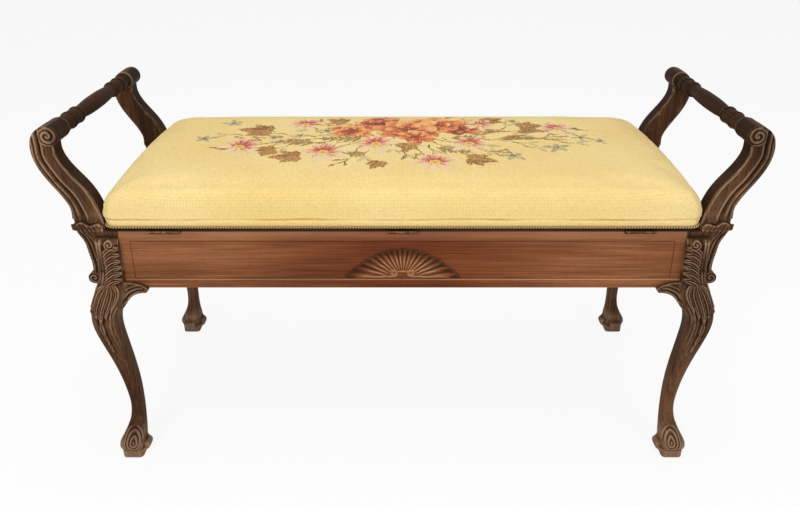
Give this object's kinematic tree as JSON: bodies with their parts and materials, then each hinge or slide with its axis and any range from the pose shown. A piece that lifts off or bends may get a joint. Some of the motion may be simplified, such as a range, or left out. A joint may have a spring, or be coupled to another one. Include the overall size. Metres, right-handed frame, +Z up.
{
  "type": "upholstered bench",
  "caption": "Long bench with carved cabriole legs, scrolled arms joined by turned grips, and a hinged padded lid in floral needlework over a shallow compartment.",
  "frame": {"origin": "on the floor under the middle of the bench", "axes": "+X along the bench to the right seen from the hinge side, +Y from the hinge side to the opening side, +Z up"},
  "size_m": [1.1264, 0.425, 0.6145],
  "materials": {
    "carved_wood": "waxed, worn on the edges",
    "rail_wood": "french polished",
    "inner_wood": "plain",
    "hinge_brass": "tarnished",
    "screw_steel": "plain",
    "needlework": "wool stitches",
    "braid": "woven",
    "webbing": "coarse weave",
    "stuffing": "loose fibre",
    "lining": "plain cotton"
  },
  "bodies": {
    "stand": {"arm_back_left": "carved_wood", "arm_back_right": "carved_wood", "arm_dowels": "inner_wood", "arm_front_left": "carved_wood", "arm_front_right": "carved_wood", "compartment_bottom": "inner_wood", "corner_block_screws": "screw_steel", "corner_blocks": "inner_wood", "ear_back_left": "carved_wood", "ear_back_right": "carved_wood", "ear_front_left": "carved_wood", "ear_front_right": "carved_wood", "grip_left": "carved_wood", "grip_right": "carved_wood", "hinge_leaf_rail_centre": "hinge_brass", "hinge_leaf_rail_left": "hinge_brass", "hinge_leaf_rail_right": "hinge_brass", "hinge_pin_centre": "hinge_brass", "hinge_pin_left": "hinge_brass", "hinge_pin_right": "hinge_brass", "hinge_screws_rail": "screw_steel", "knee_bracket_end_back_left": "carved_wood", "knee_bracket_end_back_right": "carved_wood", "knee_bracket_end_front_left": "carved_wood", "knee_bracket_end_front_right": "carved_wood", "knee_bracket_long_back_left": "carved_wood", "knee_bracket_long_back_right": "carved_wood", "knee_bracket_long_front_left": "carved_wood", "knee_bracket_long_front_right": "carved_wood", "ledger_strips": "inner_wood", "leg_back_left": "carved_wood", "leg_back_right": "carved_wood", "leg_front_left": "carved_wood", "leg_front_right": "carved_wood", "rail_back": "rail_wood", "rail_front": "rail_wood", "rail_left": "rail_wood", "rail_right": "rail_wood", "shell_back": "carved_wood", "shell_front": "carved_wood"},
    "lid": {"base_cloth": "webbing", "gimp_braid": "braid", "hinge_leaf_lid_centre": "hinge_brass", "hinge_leaf_lid_left": "hinge_brass", "hinge_leaf_lid_right": "hinge_brass", "hinge_screws_lid": "screw_steel", "lid_back_member": "inner_wood", "lid_crossbar": "inner_wood", "lid_front_member": "inner_wood", "lid_left_member": "inner_wood", "lid_lining": "lining", "lid_right_member": "inner_wood", "lining_tacks": "screw_steel", "seat_cover": "needlework", "seat_stuffing": "stuffing", "webbing_cross": "webbing", "webbing_long": "webbing"}
  },
  "joints": [
    {"name": "lid_hinge", "type": "hinge", "parent": "stand", "child": "lid", "pos_m": [0, -0.18705, 0.4415], "axis": [1, 0, 0], "range_deg": [0, 100]}
  ]
}
